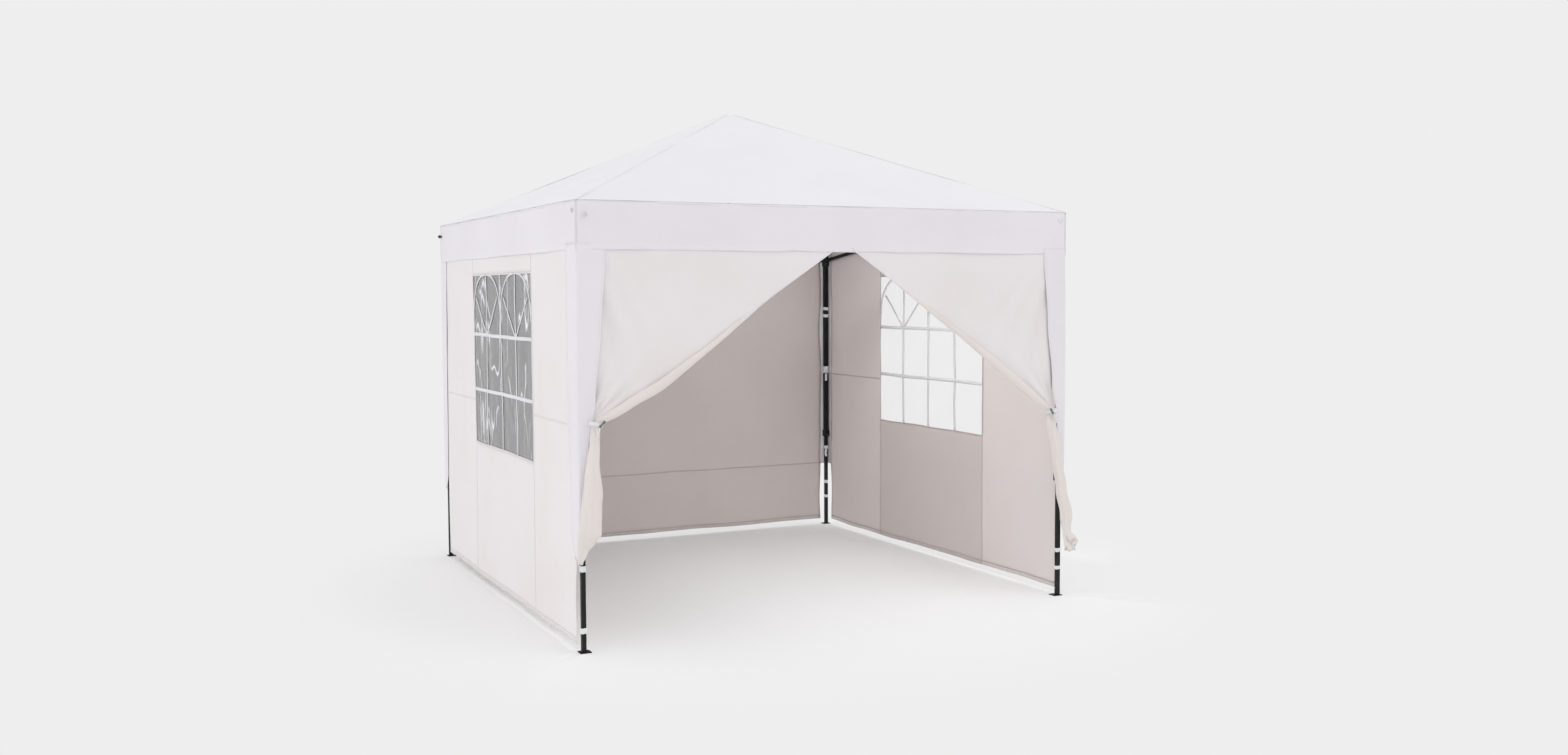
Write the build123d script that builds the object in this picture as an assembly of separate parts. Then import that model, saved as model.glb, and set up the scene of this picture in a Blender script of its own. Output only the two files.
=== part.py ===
from build123d import *

import math
import os

# A pop-up canopy, millimetres, +Z up. The origin is on the ground at the middle of the four feet.
# Everything is drawn once for the front side (facing -Y) and turned in quarters for the other sides.

# ---- driving dimensions: the cover ----
COVER_HALF = 1250.0  # half the side of the square cover at its eaves
EAVE_Z = 1895.0  # top edge of the valance
APEX_Z = 2460.0
VALANCE_DROP = 205.0
CLOTH = 1.0  # thickness of every cloth panel
HEM_Z = 32.0  # side walls stop just above the ground
WALL_TOP_Z = 1862.0
WALL_FACE = 1247.4  # outer face of the side walls, just inside the valance
WALL_HALF = 1226.0

# ---- driving dimensions: the legs ----
LEG_HALF_PITCH = 1228.0  # leg centre to the middle of the canopy, in X and in Y
UPPER_TUBE = 25.0
UPPER_WALL = 1.0
UPPER_BOTTOM_Z = 590.0
UPPER_TOP_Z = 1880.0
LOWER_TUBE = 19.0
LOWER_WALL = 0.8
LOWER_TOP_Z = 780.0
FOOT_SIDE = 50.0
FOOT_PLATE = 3.0
FOOT_OFFSET = 6.0  # the foot plate reaches inwards
STAKE_HOLE_R = 4.5
STAKE_HOLE_IN = 22.0  # from the leg centre, inwards in X and in Y
COLLAR_HALF = 16.5
COLLAR_BOTTOM_Z = 575.0
COLLAR_TOP_Z = 612.0

# ---- driving dimensions: the scissor trusses ----
TOP_PIVOT_Z = 1862.0
TRUSS_HEIGHT = 145.0
BAR_HEIGHT = 20.0
BAR_THICK = 10.0
BAR_WALL = 0.8
BAR_OVERHANG = 9.0  # bar past its end pivots
LAYER = 6.0  # the two bars of a pair lie this far each side of the truss plane
CORNER_EAR = 32.5  # leg centre to the pivots on its bracket and slider
MID_EAR = 26.0  # middle of a side to the pivots of the side bars
REAR_EAR = 29.5  # side plane to the pivot of the centre truss
HUB_EAR = 29.0  # centre of the hub to its pivots
EAR_REACH = 9.0  # ear past its pivot
EAR_THICK = 3.0
EAR_GAP = 0.5  # between a bar and each ear
PIN_R = 3.0
PIN_BORE_R = 3.06
BAR_BORE_R = 3.09
HEAD_R = 5.0
HEAD_THICK = 1.5

# ---- driving dimensions: the peak ----
POLE_R = 9.5
POLE_WALL = 1.2
POLE_BORE_R = 9.8
POLE_TOP_Z = 2429.0
CAP_R = 35.0
HUB_HALF = 15.0

# ---- derived ----
SPAN = LEG_HALF_PITCH - CORNER_EAR - MID_EAR  # level distance between the pivots of one bar
BAR_LENGTH = math.hypot(SPAN, TRUSS_HEIGHT)
OPEN_ANGLE = math.degrees(math.atan2(TRUSS_HEIGHT, SPAN))
LOW_PIVOT_Z = TOP_PIVOT_Z - TRUSS_HEIGHT
MID_Z = TOP_PIVOT_Z - TRUSS_HEIGHT / 2
SIDE_Y = -LEG_HALF_PITCH  # plane of the front truss
OUTER = SIDE_Y - LAYER
INNER = SIDE_Y + LAYER
SIDES = ["front", "right", "back", "left"]
CORNERS = ["front_right", "back_right", "back_left", "front_left"]


def block(x0, x1, y0, y1, z0, z1):
    """Box between two corners."""
    size = (abs(x1 - x0), abs(y1 - y0), abs(z1 - z0))
    return Pos((x0 + x1) / 2, (y0 + y1) / 2, (z0 + z1) / 2) * Box(*size)


def turned(shape, quarter):
    """The front side's shape on side number quarter."""
    return Rot(0, 0, 90 * quarter) * shape


def along_y(x, y, z, radius, length):
    """Cylinder with its axis along Y, centred at the point."""
    return Pos(x, y, z) * Rot(90, 0, 0) * Cylinder(radius, length)


def along_x(x, y, z, radius, length):
    """Cylinder with its axis along X, centred at the point."""
    return Pos(x, y, z) * Rot(0, 90, 0) * Cylinder(radius, length)


def save(name, solids):
    """Write one node; a list holds the node's separate solids."""
    shape = solids[0] if len(solids) == 1 else Compound(children=list(solids))
    shape.label = name
    export_step(shape, f"parts/{name}.step")


def square_tube(x, y, z0, z1, side, wall):
    """Upright square tube."""
    outer = block(x - side / 2, x + side / 2, y - side / 2, y + side / 2, z0, z1)
    hole = side / 2 - wall
    return outer - block(x - hole, x + hole, y - hole, y + hole, z0 - 1, z1 + 1)


# ---- truss pieces ----

def truss_bar():
    """Rectangular tube along X from one end pivot at the origin to the other, with three pin bores."""
    ends = BAR_LENGTH + 2 * BAR_OVERHANG
    tube = Box(ends, BAR_THICK, BAR_HEIGHT)
    tube -= Box(ends + 2, BAR_THICK - 2 * BAR_WALL, BAR_HEIGHT - 2 * BAR_WALL)
    bar = Pos(BAR_LENGTH / 2, 0, 0) * tube
    for share in (0, 0.5, 1):
        bar -= along_y(share * BAR_LENGTH, 0, 0, BAR_BORE_R, BAR_THICK + 2)
    return bar


def pin(x, y, z, grip):
    """Rivet along Y whose heads close on a grip of that length."""
    shape = along_y(x, y, z, PIN_R, grip + 2 * HEAD_THICK)
    for way in (-1, 1):
        shape += along_y(x, y + way * (grip + HEAD_THICK) / 2, z, HEAD_R, HEAD_THICK)
    return shape


def crossing_pin(x, y, z):
    """Rivet through the middles of a pair of bars, with a spacer collar between them."""
    grip = 2 * LAYER + BAR_THICK + 0.2
    spacer = 2 * LAYER - BAR_THICK - 0.2
    return pin(x, y, z, grip) + along_y(x, y, z, PIN_R + 2.5, spacer)


def ear_pair(x0, x1, x_pivot, layer_y, z):
    """Two upright ears along X that hold a bar's end between them, and their bores."""
    ears = []
    inner = BAR_THICK / 2 + EAR_GAP
    for way in (-1, 1):
        near = layer_y + way * inner
        ears.append(block(x0, x1, near, near + way * EAR_THICK, z - EAR_REACH, z + EAR_REACH))
    bore = along_y(x_pivot, layer_y, z, PIN_BORE_R, BAR_THICK + 20)
    return ears, bore


def ear_pin(x, layer_y, z):
    """Rivet through a pair of ears."""
    return pin(x, layer_y, z, BAR_THICK + 2 * (EAR_GAP + EAR_THICK) + 0.1)


def placed_bar(x, y, z, way, drop):
    """A bar that starts at a pivot and runs along way*X, dropping (drop=1) or rising (drop=-1)."""
    bar = Rot(0, drop * OPEN_ANGLE, 0) * truss_bar()
    if way < 0:
        bar = Rot(0, 0, 180) * bar
    return Pos(x, y, z) * bar


def to_centre_plane(shape):
    """Turn a shape drawn along +X from the origin so that it runs along -Y, beside the X = 0 plane."""
    return Rot(0, 0, -90) * shape


def side_bars(way):
    """The two crossed bars of half a side: hung from the middle top, and from the middle bottom."""
    x = way * MID_EAR
    hanging = placed_bar(x, INNER, TOP_PIVOT_Z, way, 1)
    rising = placed_bar(x, OUTER, LOW_PIVOT_Z, way, -1)
    rivet = crossing_pin(way * (MID_EAR + SPAN / 2), SIDE_Y, MID_Z)
    return [hanging, rivet], [rising]


def centre_bars():
    """The two crossed bars from the hub to the middle of the front side."""
    hanging = to_centre_plane(placed_bar(HUB_EAR, -LAYER, TOP_PIVOT_Z, 1, 1))
    rising = to_centre_plane(placed_bar(HUB_EAR, LAYER, LOW_PIVOT_Z, 1, -1))
    rivet = to_centre_plane(crossing_pin(HUB_EAR + SPAN / 2, 0, MID_Z))
    return [hanging, rivet], [rising]


def mid_bracket(layer_y, centre_layer, z):
    """Bracket in the middle of a side: ears for the two side bars and, behind, for the centre truss."""
    reach = MID_EAR + EAR_REACH
    back = SIDE_Y + LAYER + BAR_THICK / 2 + EAR_GAP + EAR_THICK
    front = layer_y - BAR_THICK / 2 - EAR_GAP - EAR_THICK
    ears, bore = ear_pair(-reach, reach, MID_EAR, layer_y, z)
    body = block(-8, 8, front, back, z - 12, z + 12)
    body += block(-14.5, 14.5, back - EAR_THICK, back, z - EAR_REACH, z + EAR_REACH)
    for ear in ears:
        body += ear
    rear = SIDE_Y + REAR_EAR
    rear_ears, rear_bore = ear_pair(0, rear + EAR_REACH - back, rear - back, centre_layer, z)
    for ear in rear_ears:
        body += Pos(0, back, 0) * Rot(0, 0, 90) * ear
    body -= bore + along_y(-MID_EAR, layer_y, z, PIN_BORE_R, BAR_THICK + 20)
    body -= Pos(0, back, 0) * Rot(0, 0, 90) * rear_bore
    pins = [ear_pin(way * MID_EAR, layer_y, z) for way in (-1, 1)]
    pins.append(Pos(0, back, 0) * Rot(0, 0, 90) * ear_pin(rear - back, centre_layer, z))
    return [body] + pins


def hub(layer, z0, z1, z, floor):
    """Central hub with a bore for the peak pole and a pair of ears to each side."""
    body = block(-HUB_HALF, HUB_HALF, -HUB_HALF, HUB_HALF, z0, z1)
    body -= Pos(0, 0, (z0 + floor + z1 + 1) / 2) * Cylinder(POLE_BORE_R, z1 + 1 - z0 - floor)
    pins = []
    for quarter in range(4):
        ears, bore = ear_pair(HUB_HALF, HUB_EAR + EAR_REACH, HUB_EAR, layer, z)
        for ear in ears:
            body += turned(to_centre_plane(ear), quarter)
        body -= turned(to_centre_plane(bore), quarter)
        pins.append(turned(to_centre_plane(ear_pin(HUB_EAR, layer, z)), quarter))
    return [body] + pins


def peak_pole():
    """Pole that carries the roof's peak on a rounded cap; it slides in the top hub."""
    foot = LOW_PIVOT_Z - 13 + 4 + 0.3
    height = POLE_TOP_Z - foot
    tube = Pos(0, 0, foot + height / 2) * (
        Cylinder(POLE_R, height) - Cylinder(POLE_R - POLE_WALL, height + 2)
    )
    crown = APEX_Z - 8
    outline = Polyline((0, crown), (12, crown - 3), (CAP_R - 4, crown - 18), (CAP_R, crown - 25))
    outline += Polyline((CAP_R, crown - 25), (CAP_R, crown - 32), (14, crown - 40), (0, crown - 40))
    outline += Line((0, crown - 40), (0, crown))
    cap = revolve(Plane.XZ * make_face(outline), Axis.Z)
    socket = POLE_TOP_Z + 1 - (crown - 41)
    cap -= Pos(0, 0, crown - 41 + socket / 2) * Cylinder(POLE_R + 0.05, socket)
    return [tube, cap]


# ---- leg pieces, at the front right corner ----

def leg_ears(layer_inner, z, start):
    """Ears on a leg's bracket or slider: towards -X for the front side, towards +Y for the right side."""
    x, y = LEG_HALF_PITCH, -LEG_HALF_PITCH
    offset = LAYER if layer_inner else -LAYER
    reach = CORNER_EAR + EAR_REACH
    ears, bore = ear_pair(-reach, -start, -CORNER_EAR, offset, z)
    across, across_bore = ear_pair(start, reach, CORNER_EAR, offset, z)
    shapes = [Pos(x, y, 0) * ear for ear in ears]
    shapes += [Pos(x, y, 0) * Rot(0, 0, 90) * ear for ear in across]
    bores = [Pos(x, y, 0) * bore, Pos(x, y, 0) * Rot(0, 0, 90) * across_bore]
    pins = [
        Pos(x, y, 0) * ear_pin(-CORNER_EAR, offset, z),
        Pos(x, y, 0) * Rot(0, 0, 90) * ear_pin(CORNER_EAR, offset, z),
    ]
    return shapes, bores, pins


def upper_leg():
    """Upper leg tube, the corner bracket on its top and the guide collar at its bottom end."""
    x, y = LEG_HALF_PITCH, -LEG_HALF_PITCH
    tube = square_tube(x, y, UPPER_BOTTOM_Z, UPPER_TOP_Z, UPPER_TUBE, UPPER_WALL)
    half = 16.0
    socket = UPPER_TUBE / 2 + 0.15
    bracket = block(x - half, x + half, y - half, y + half, 1840, 1887)
    bracket -= block(x - socket, x + socket, y - socket, y + socket, 1839, UPPER_TOP_Z + 0.2)
    ears, bores, pins = leg_ears(False, TOP_PIVOT_Z, half)
    for ear in ears:
        bracket += ear
    for bore in bores:
        bracket -= bore
    low = COLLAR_HALF
    guide = LOWER_TUBE / 2 + 0.35
    collar = block(x - low, x + low, y - low, y + low, COLLAR_BOTTOM_Z, COLLAR_TOP_Z)
    collar -= block(x - socket, x + socket, y - socket, y + socket, UPPER_BOTTOM_Z - 0.2, 700)
    collar -= block(x - guide, x + guide, y - guide, y + guide, 500, 700)
    collar -= along_x(x - 13, y, COLLAR_BOTTOM_Z + 7.5, 3.56, 12)
    return [tube, bracket, collar] + pins


def leg_button():
    """Sprung knob on the guide collar; its stem locks the lower leg and it is pulled out to free it."""
    x, y, z = LEG_HALF_PITCH, -LEG_HALF_PITCH, COLLAR_BOTTOM_Z + 7.5
    tip = x - LOWER_TUBE / 2 - 0.4
    face = x - COLLAR_HALF
    stem = along_x((tip + face - 2) / 2, y, z, 3.5, tip - face + 2)
    neck = along_x(face - 2.0, y, z, 5.0, 3.4)
    knob = fillet(along_x(face - 6.2, y, z, 7.0, 5.0).edges(), 1.0)
    return [stem + neck + knob]


def slider():
    """Collar that slides on the upper leg and carries the low ends of the side bars."""
    x, y, z = LEG_HALF_PITCH, -LEG_HALF_PITCH, LOW_PIVOT_Z
    half = 16.5
    hole = UPPER_TUBE / 2 + 0.4
    body = block(x - half, x + half, y - half, y + half, z - 37, z + 16)
    body -= block(x - hole, x + hole, y - hole, y + hole, z - 50, z + 50)
    ears, bores, pins = leg_ears(True, z, half)
    for ear in ears:
        body += ear
    for bore in bores:
        body -= bore
    latch = along_x(x - half - 3, y - 2, z - 24, 7.5, 6.0)
    latch = fillet(latch.faces().sort_by(Axis.X)[0].edges(), 1.5)
    return [body, latch] + pins


def lower_leg():
    """Lower leg tube welded to its square foot plate, which has a hole for a ground stake."""
    x, y = LEG_HALF_PITCH, -LEG_HALF_PITCH
    tube = square_tube(x, y, FOOT_PLATE, LOWER_TOP_Z, LOWER_TUBE, LOWER_WALL)
    cx, cy = x - FOOT_OFFSET, y + FOOT_OFFSET
    half = FOOT_SIDE / 2
    plate = block(cx - half, cx + half, cy - half, cy + half, 0, FOOT_PLATE)
    plate = fillet(plate.edges().filter_by(Axis.Z), 5)
    hole = Pos(x - STAKE_HOLE_IN, y + STAKE_HOLE_IN, 0) * Cylinder(STAKE_HOLE_R, 20)
    return [tube + (plate - hole)]


# ---- cloth pieces ----

def upright_sheet(outline, y):
    """Sheet cut to an outline given as (x, z), its outer face at that y."""
    face = make_face(Plane.XZ * outline)
    return Pos(0, y, 0) * extrude(face, CLOTH, dir=(0, 1, 0))


def roof_panel():
    """The front quarter of the pyramid roof, between its two hips."""
    rise = APEX_Z - EAVE_Z
    slope = math.atan2(rise, COVER_HALF)
    down = CLOTH / math.cos(slope)
    side = Polyline(
        (-COVER_HALF, EAVE_Z), (0, APEX_Z), (0, APEX_Z - down), (-COVER_HALF, EAVE_Z - down), close=True
    )
    slab = Pos(COVER_HALF, 0, 0) * extrude(Plane.YZ * make_face(side), -2 * COVER_HALF)
    gap = 0.4
    plan = Polyline(
        (0, -gap), (COVER_HALF - gap, -COVER_HALF), (gap - COVER_HALF, -COVER_HALF), close=True
    )
    wedge = Pos(0, 0, EAVE_Z - 50) * extrude(make_face(plan), 800)
    return [slab & wedge]


def cover_skirt():
    """The valance strips and, below them at each corner, the two flaps that cover the leg."""
    top = EAVE_Z - CLOTH / math.cos(math.atan2(APEX_Z - EAVE_Z, COVER_HALF)) - 0.5
    low = EAVE_Z - VALANCE_DROP
    edge = COVER_HALF
    strips = []
    for quarter in range(4):
        strip = block(-edge + CLOTH + 0.2, edge, -edge, -edge + CLOTH, low, top)
        strips.append(turned(strip, quarter))
        for way in (-1, 1):
            outer = edge if way > 0 else edge - CLOTH - 0.2
            flap = Polyline(
                (way * outer, low - 0.1), (way * (edge - 132), low - 0.1),
                (way * (edge - 62), 420), (way * outer, 330), close=True,
            )
            strips.append(turned(upright_sheet(flap, -edge), quarter))
    return strips


def side_wall():
    """Plain rectangular wall panel, drawn on the front side."""
    return block(-WALL_HALF, WALL_HALF, -WALL_FACE, CLOTH - WALL_FACE, HEM_Z, WALL_TOP_Z)


def door_curtain(way):
    """Half of the front wall, drawn aside: spread along the top, tied at the leg, gathered below."""
    tie_z = 1010.0
    spread = Polyline(
        (way * WALL_HALF, WALL_TOP_Z), (way * 5, WALL_TOP_Z), (way * 640, 1420),
        (way * 1090, tie_z), (way * WALL_HALF, tie_z), close=True,
    )
    hang = Polyline(
        (way * WALL_HALF, tie_z), (way * 1090, tie_z), (way * 1075, 620),
        (way * 1150, 450), (way * WALL_HALF, 450), close=True,
    )
    return upright_sheet(spread, -WALL_FACE) + upright_sheet(hang, -WALL_FACE)


def main():
    os.makedirs("parts", exist_ok=True)
    save("top_hub", hub(-LAYER, TOP_PIVOT_Z - 13, TOP_PIVOT_Z + 18, TOP_PIVOT_Z, -1))
    save("lower_hub", hub(LAYER, LOW_PIVOT_Z - 13, LOW_PIVOT_Z + 13, LOW_PIVOT_Z, 4))
    save("peak_pole", peak_pole())
    mid_top = mid_bracket(INNER, -LAYER, TOP_PIVOT_Z)
    mid_bottom = mid_bracket(OUTER, LAYER, LOW_PIVOT_Z)
    centre_hanging, centre_rising = centre_bars()
    side_pairs = {"right": side_bars(1), "left": side_bars(-1)}
    leg_pieces = {
        "upper_leg": upper_leg(),
        "leg_slider": slider(),
        "lower_leg": lower_leg(),
        "leg_lock_button": leg_button(),
    }
    roof = roof_panel()
    for quarter, side in enumerate(SIDES):
        save(f"mid_top_bracket_{side}", [turned(s, quarter) for s in mid_top])
        save(f"mid_bottom_bracket_{side}", [turned(s, quarter) for s in mid_bottom])
        save(f"centre_bar_{side}_hanging", [turned(s, quarter) for s in centre_hanging])
        save(f"centre_bar_{side}_rising", [turned(s, quarter) for s in centre_rising])
        for half, (hanging, rising) in side_pairs.items():
            save(f"side_bar_{side}_{half}_hanging", [turned(s, quarter) for s in hanging])
            save(f"side_bar_{side}_{half}_rising", [turned(s, quarter) for s in rising])
        for name, solids in leg_pieces.items():
            save(f"{name}_{CORNERS[quarter]}", [turned(s, quarter) for s in solids])
        save(f"roof_panel_{side}", [turned(s, quarter) for s in roof])
    save("cover_skirt", cover_skirt())
    save("side_wall_right", [turned(side_wall(), 1)])
    save("side_wall_back", [turned(side_wall(), 2)])
    save("side_wall_left", [turned(side_wall(), 3)])
    save("door_curtains", [door_curtain(-1), door_curtain(1)])
    print("bar length", round(BAR_LENGTH, 2), "open angle", round(OPEN_ANGLE, 3))


main()
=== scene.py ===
import math

import bpy
from mathutils import Matrix, Vector, noise


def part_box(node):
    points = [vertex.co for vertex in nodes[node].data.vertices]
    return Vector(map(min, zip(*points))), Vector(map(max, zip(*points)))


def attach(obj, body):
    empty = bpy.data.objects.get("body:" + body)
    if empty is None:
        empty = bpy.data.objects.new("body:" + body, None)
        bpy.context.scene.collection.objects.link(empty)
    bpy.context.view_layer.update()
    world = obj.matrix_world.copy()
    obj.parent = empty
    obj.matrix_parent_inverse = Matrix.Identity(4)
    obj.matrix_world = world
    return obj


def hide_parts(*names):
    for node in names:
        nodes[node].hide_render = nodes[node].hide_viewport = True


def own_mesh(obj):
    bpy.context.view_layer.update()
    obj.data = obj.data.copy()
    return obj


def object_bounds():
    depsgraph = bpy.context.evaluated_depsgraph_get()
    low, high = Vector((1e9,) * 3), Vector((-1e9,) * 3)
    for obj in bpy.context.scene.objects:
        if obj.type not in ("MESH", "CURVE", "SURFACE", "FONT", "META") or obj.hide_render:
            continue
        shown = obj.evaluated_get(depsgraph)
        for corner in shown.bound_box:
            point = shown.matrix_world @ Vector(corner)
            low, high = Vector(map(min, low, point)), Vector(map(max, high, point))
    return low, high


# Looks of a white pop-up canopy, in metres, +Z up, the open front facing -Y.
# Cloth pieces are drawn for the front side and turned in quarters for the other sides.

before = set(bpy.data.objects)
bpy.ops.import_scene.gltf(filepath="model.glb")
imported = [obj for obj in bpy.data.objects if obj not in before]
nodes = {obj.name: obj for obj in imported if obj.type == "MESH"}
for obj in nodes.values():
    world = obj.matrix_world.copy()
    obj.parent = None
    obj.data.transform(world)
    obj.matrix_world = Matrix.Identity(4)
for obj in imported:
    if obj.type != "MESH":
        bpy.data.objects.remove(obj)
cad_low, cad_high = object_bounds()

# ---- dimensions, taken from the CAD frame or the same as in it ----
COVER = cad_high.x  # half the width of the square cover
APEX = cad_high.z
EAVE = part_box("roof_panel_front")[0].z + 0.001
VALANCE_DEPTH = 0.205
VALANCE_LOW = EAVE - VALANCE_DEPTH
wall_low, wall_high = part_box("side_wall_back")
WALL = wall_high.y  # distance of each wall from the middle
WALL_HALF = 1.200
WALL_LOW = wall_low.z
WALL_TOP = wall_high.z
LEG = 1.228  # a leg's axis lies this far from the middle in x and in y
UPPER_HALF = 0.0125  # half widths of the square leg tubes
LOWER_HALF = 0.0095
SPLIT_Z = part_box("upper_leg_front_right")[0].z  # lower end of the upper leg tubes
CLOTH_THICKNESS = 0.0008
FILM_THICKNESS = 0.0004

# (width, thickness) of what is sewn to the cloth or tied round it
HIP_SEAM = (0.016, 0.0006)
EAVE_SEAM = (0.010, 0.0008)
WALL_SEAM = (0.007, 0.0008)
LEVEL_TAPE = (0.018, 0.0014)
UPRIGHT_TAPE = (0.013, 0.0012)
ARCH_TAPE = (0.011, 0.0012)
CURTAIN_HEM = (0.014, 0.0012)
COVER_HEM = (0.010, 0.0022)
TIE_BAND = (0.020, 0.0018)
CORNER_LOOP = (0.006, 0.0016)
STRAP_THICKNESS = 0.0012

SIDES = ["front", "right", "back", "left"]
CORNERS = ["front_right", "back_right", "back_left", "front_left"]


def turn(k):
    """Rotation by quarters about the vertical axis."""
    return Matrix.Rotation(math.pi / 2 * k, 4, "Z")


def wave(x, z, seed, size=1.0):
    """Smooth repeatable unevenness between about -1 and 1."""
    return noise.noise(Vector((x / size, z / size, seed * 7.31)))


def mix(a, b, t):
    return a + (b - a) * t


def smooth(t):
    t = min(1.0, max(0.0, t))
    return t * t * (3 - 2 * t)


def profile(keys, t):
    """Smooth curve through a few (position, value) keys."""
    if t <= keys[0][0]:
        return keys[0][1]
    for (t0, v0), (t1, v1) in zip(keys, keys[1:]):
        if t <= t1:
            return mix(v0, v1, smooth((t - t0) / (t1 - t0)))
    return keys[-1][1]


# ---- materials ----

class Paint:
    """A node material with a few shortcuts."""

    def __init__(self, name, color, roughness, **sockets):
        self.mat = bpy.data.materials.new(name)
        self.mat.use_nodes = True
        self.tree = self.mat.node_tree
        self.bsdf = self.tree.nodes["Principled BSDF"]
        self.set("Base Color", (*color, 1))
        self.set("Roughness", roughness)
        for key, value in sockets.items():
            self.set(key.replace("_", " "), value)
        self.coords = self.add("ShaderNodeTexCoord").outputs["Object"]
        self.last_bump = None

    def set(self, socket, value):
        self.bsdf.inputs[socket].default_value = value

    def add(self, kind, **inputs):
        node = self.tree.nodes.new(kind)
        for key, value in inputs.items():
            node.inputs[key.replace("_", " ")].default_value = value
        return node

    def link(self, a, b):
        self.tree.links.new(a, b)

    def noise(self, scale, detail=3.0, rough=0.5, stretch=None):
        node = self.add("ShaderNodeTexNoise", Scale=scale, Detail=detail, Roughness=rough)
        source = self.coords
        if stretch:
            mapping = self.add("ShaderNodeMapping", Scale=stretch)
            self.link(source, mapping.inputs["Vector"])
            source = mapping.outputs["Vector"]
        self.link(source, node.inputs["Vector"])
        return node.outputs["Fac"]

    def ramp(self, fac, low, high, color_low, color_high):
        node = self.add("ShaderNodeValToRGB")
        ends = node.color_ramp.elements
        ends[0].position, ends[1].position = low, high
        ends[0].color, ends[1].color = (*color_low, 1), (*color_high, 1)
        self.link(fac, node.inputs["Fac"])
        return node.outputs["Color"]

    def vary_color(self, fac, color_low, color_high, low=0.3, high=0.7):
        self.link(self.ramp(fac, low, high, color_low, color_high), self.bsdf.inputs["Base Color"])

    def vary_roughness(self, fac, low, high):
        grey = self.ramp(fac, 0.3, 0.7, (low,) * 3, (high,) * 3)
        self.link(grey, self.bsdf.inputs["Roughness"])

    def combine(self, operation, a, b):
        node = self.add("ShaderNodeMath")
        node.operation = operation
        self.link(a, node.inputs[0])
        self.link(b, node.inputs[1])
        return node.outputs["Value"]

    def bump(self, fac, strength, distance):
        node = self.add("ShaderNodeBump", Strength=strength, Distance=distance)
        self.link(fac, node.inputs["Height"])
        if self.last_bump:
            self.link(self.last_bump, node.inputs["Normal"])
        self.last_bump = node.outputs["Normal"]
        self.link(self.last_bump, self.bsdf.inputs["Normal"])

    def weave(self, threads_per_metre, strength, distance):
        """Plain weave: two crossed sets of fine threads."""
        heights = []
        for axis in ("DIAGONAL", "Z"):
            bands = self.add("ShaderNodeTexWave", Scale=threads_per_metre / 3.2, Distortion=0.4)
            bands.wave_type = "BANDS"
            bands.bands_direction = axis
            self.link(self.coords, bands.inputs["Vector"])
            heights.append(bands.outputs["Fac"])
        self.bump(self.combine("MAXIMUM", *heights), strength, distance)


def cloth(name, light, dark, roughness, crinkle):
    """Light coated cloth: faint blotches, a fine weave and soft creases."""
    paint = Paint(name, light, roughness, Sheen_Weight=0.12, Sheen_Roughness=0.5, IOR=1.4)
    paint.vary_color(paint.noise(2.3, 4, 0.55), dark, light, 0.25, 0.6)
    paint.vary_roughness(paint.noise(9, 3), roughness - 0.06, roughness + 0.06)
    paint.bump(paint.noise(4.5, 2, 0.45), crinkle, 0.012)
    paint.bump(paint.noise(17, 3, 0.5), crinkle * 0.5, 0.003)
    paint.weave(420, 0.12, 0.0003)
    return paint.mat


def coated_metal(name, color, roughness):
    """Powder-coated steel: orange-peel texture, dust in the grain, scuffs that shine."""
    paint = Paint(name, color, roughness, IOR=1.33)
    worn = tuple(c * 1.6 + 0.008 for c in color)
    paint.vary_color(paint.noise(34, 5, 0.6, (1, 1, 0.15)), color, worn, 0.55, 0.78)
    paint.vary_roughness(paint.noise(12, 4), roughness - 0.1, roughness + 0.12)
    paint.bump(paint.noise(900, 2), 0.25, 0.0002)
    return paint.mat


def moulded_plastic(name, color):
    """Moulded nylon with a fine spark-eroded grain."""
    paint = Paint(name, color, 0.48, IOR=1.46)
    paint.vary_color(paint.noise(60, 3), color, tuple(c * 1.6 + 0.01 for c in color), 0.45, 0.8)
    paint.bump(paint.noise(1400, 2), 0.3, 0.00015)
    return paint.mat


def clear_film(name):
    """Clear vinyl film, stretched smooth."""
    paint = Paint(name, (0.93, 0.94, 0.95), 0.14, IOR=1.45)
    haze = paint.ramp(paint.noise(2.5, 2), 0.3, 0.7, (0.03,) * 3, (0.07,) * 3)
    paint.link(haze, paint.bsdf.inputs["Alpha"])
    paint.bump(paint.noise(5, 2, 0.5, (1, 1, 0.5)), 0.2, 0.008)
    return paint.mat


def painted_glint_film(name):
    """The same clear film with painted shade and painted highlights: painted grey for the dim inside seen
    through it, with fans of thin painted glints along its creases.
    """
    grey, glint_white = (0.30, 0.31, 0.325), (0.95, 0.96, 0.98)
    black, white = (0, 0, 0, 1), (1, 1, 1, 1)
    paint = Paint(name, grey, 0.16, IOR=1.45)
    glint_mask = None
    for lean, seed in ((0.30, 3.1), (-0.34, 7.7), (0.05, 12.9)):
        mapping = paint.add("ShaderNodeMapping", Rotation=(lean, 0, lean), Location=(seed, seed, seed),
                            Scale=(1.0, 1.0, 0.27))
        paint.link(paint.coords, mapping.inputs["Vector"])
        glint_noise = paint.add("ShaderNodeTexNoise", Scale=4.6, Detail=1.0, Roughness=0.4)
        paint.link(mapping.outputs["Vector"], glint_noise.inputs["Vector"])
        # a painted glint along a crease is bright only where the noise passes through its middle value
        glint_line = paint.add("ShaderNodeValToRGB")
        stops = glint_line.color_ramp.elements
        stops[0].position, stops[0].color = 0.483, black
        stops[1].position, stops[1].color = 0.495, white
        stops.new(0.507).color = black
        paint.link(glint_noise.outputs["Fac"], glint_line.inputs["Fac"])
        glint_patch = paint.ramp(paint.noise(6.0 + seed * 0.3, 1), 0.42, 0.58, (0, 0, 0), (1, 1, 1))
        glint_set = paint.combine("MULTIPLY", glint_line.outputs["Color"], glint_patch)
        glint_mask = glint_set if glint_mask is None else paint.combine("MAXIMUM", glint_mask, glint_set)
    # the painted glints make the film more opaque and white over its painted grey
    paint.link(paint.ramp(glint_mask, 0.0, 0.9, (0.52,) * 3, (0.95,) * 3), paint.bsdf.inputs["Alpha"])
    paint.vary_color(glint_mask, grey, glint_white, 0.0, 0.8)
    paint.bump(glint_mask, 0.5, 0.004)
    return paint.mat


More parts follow.
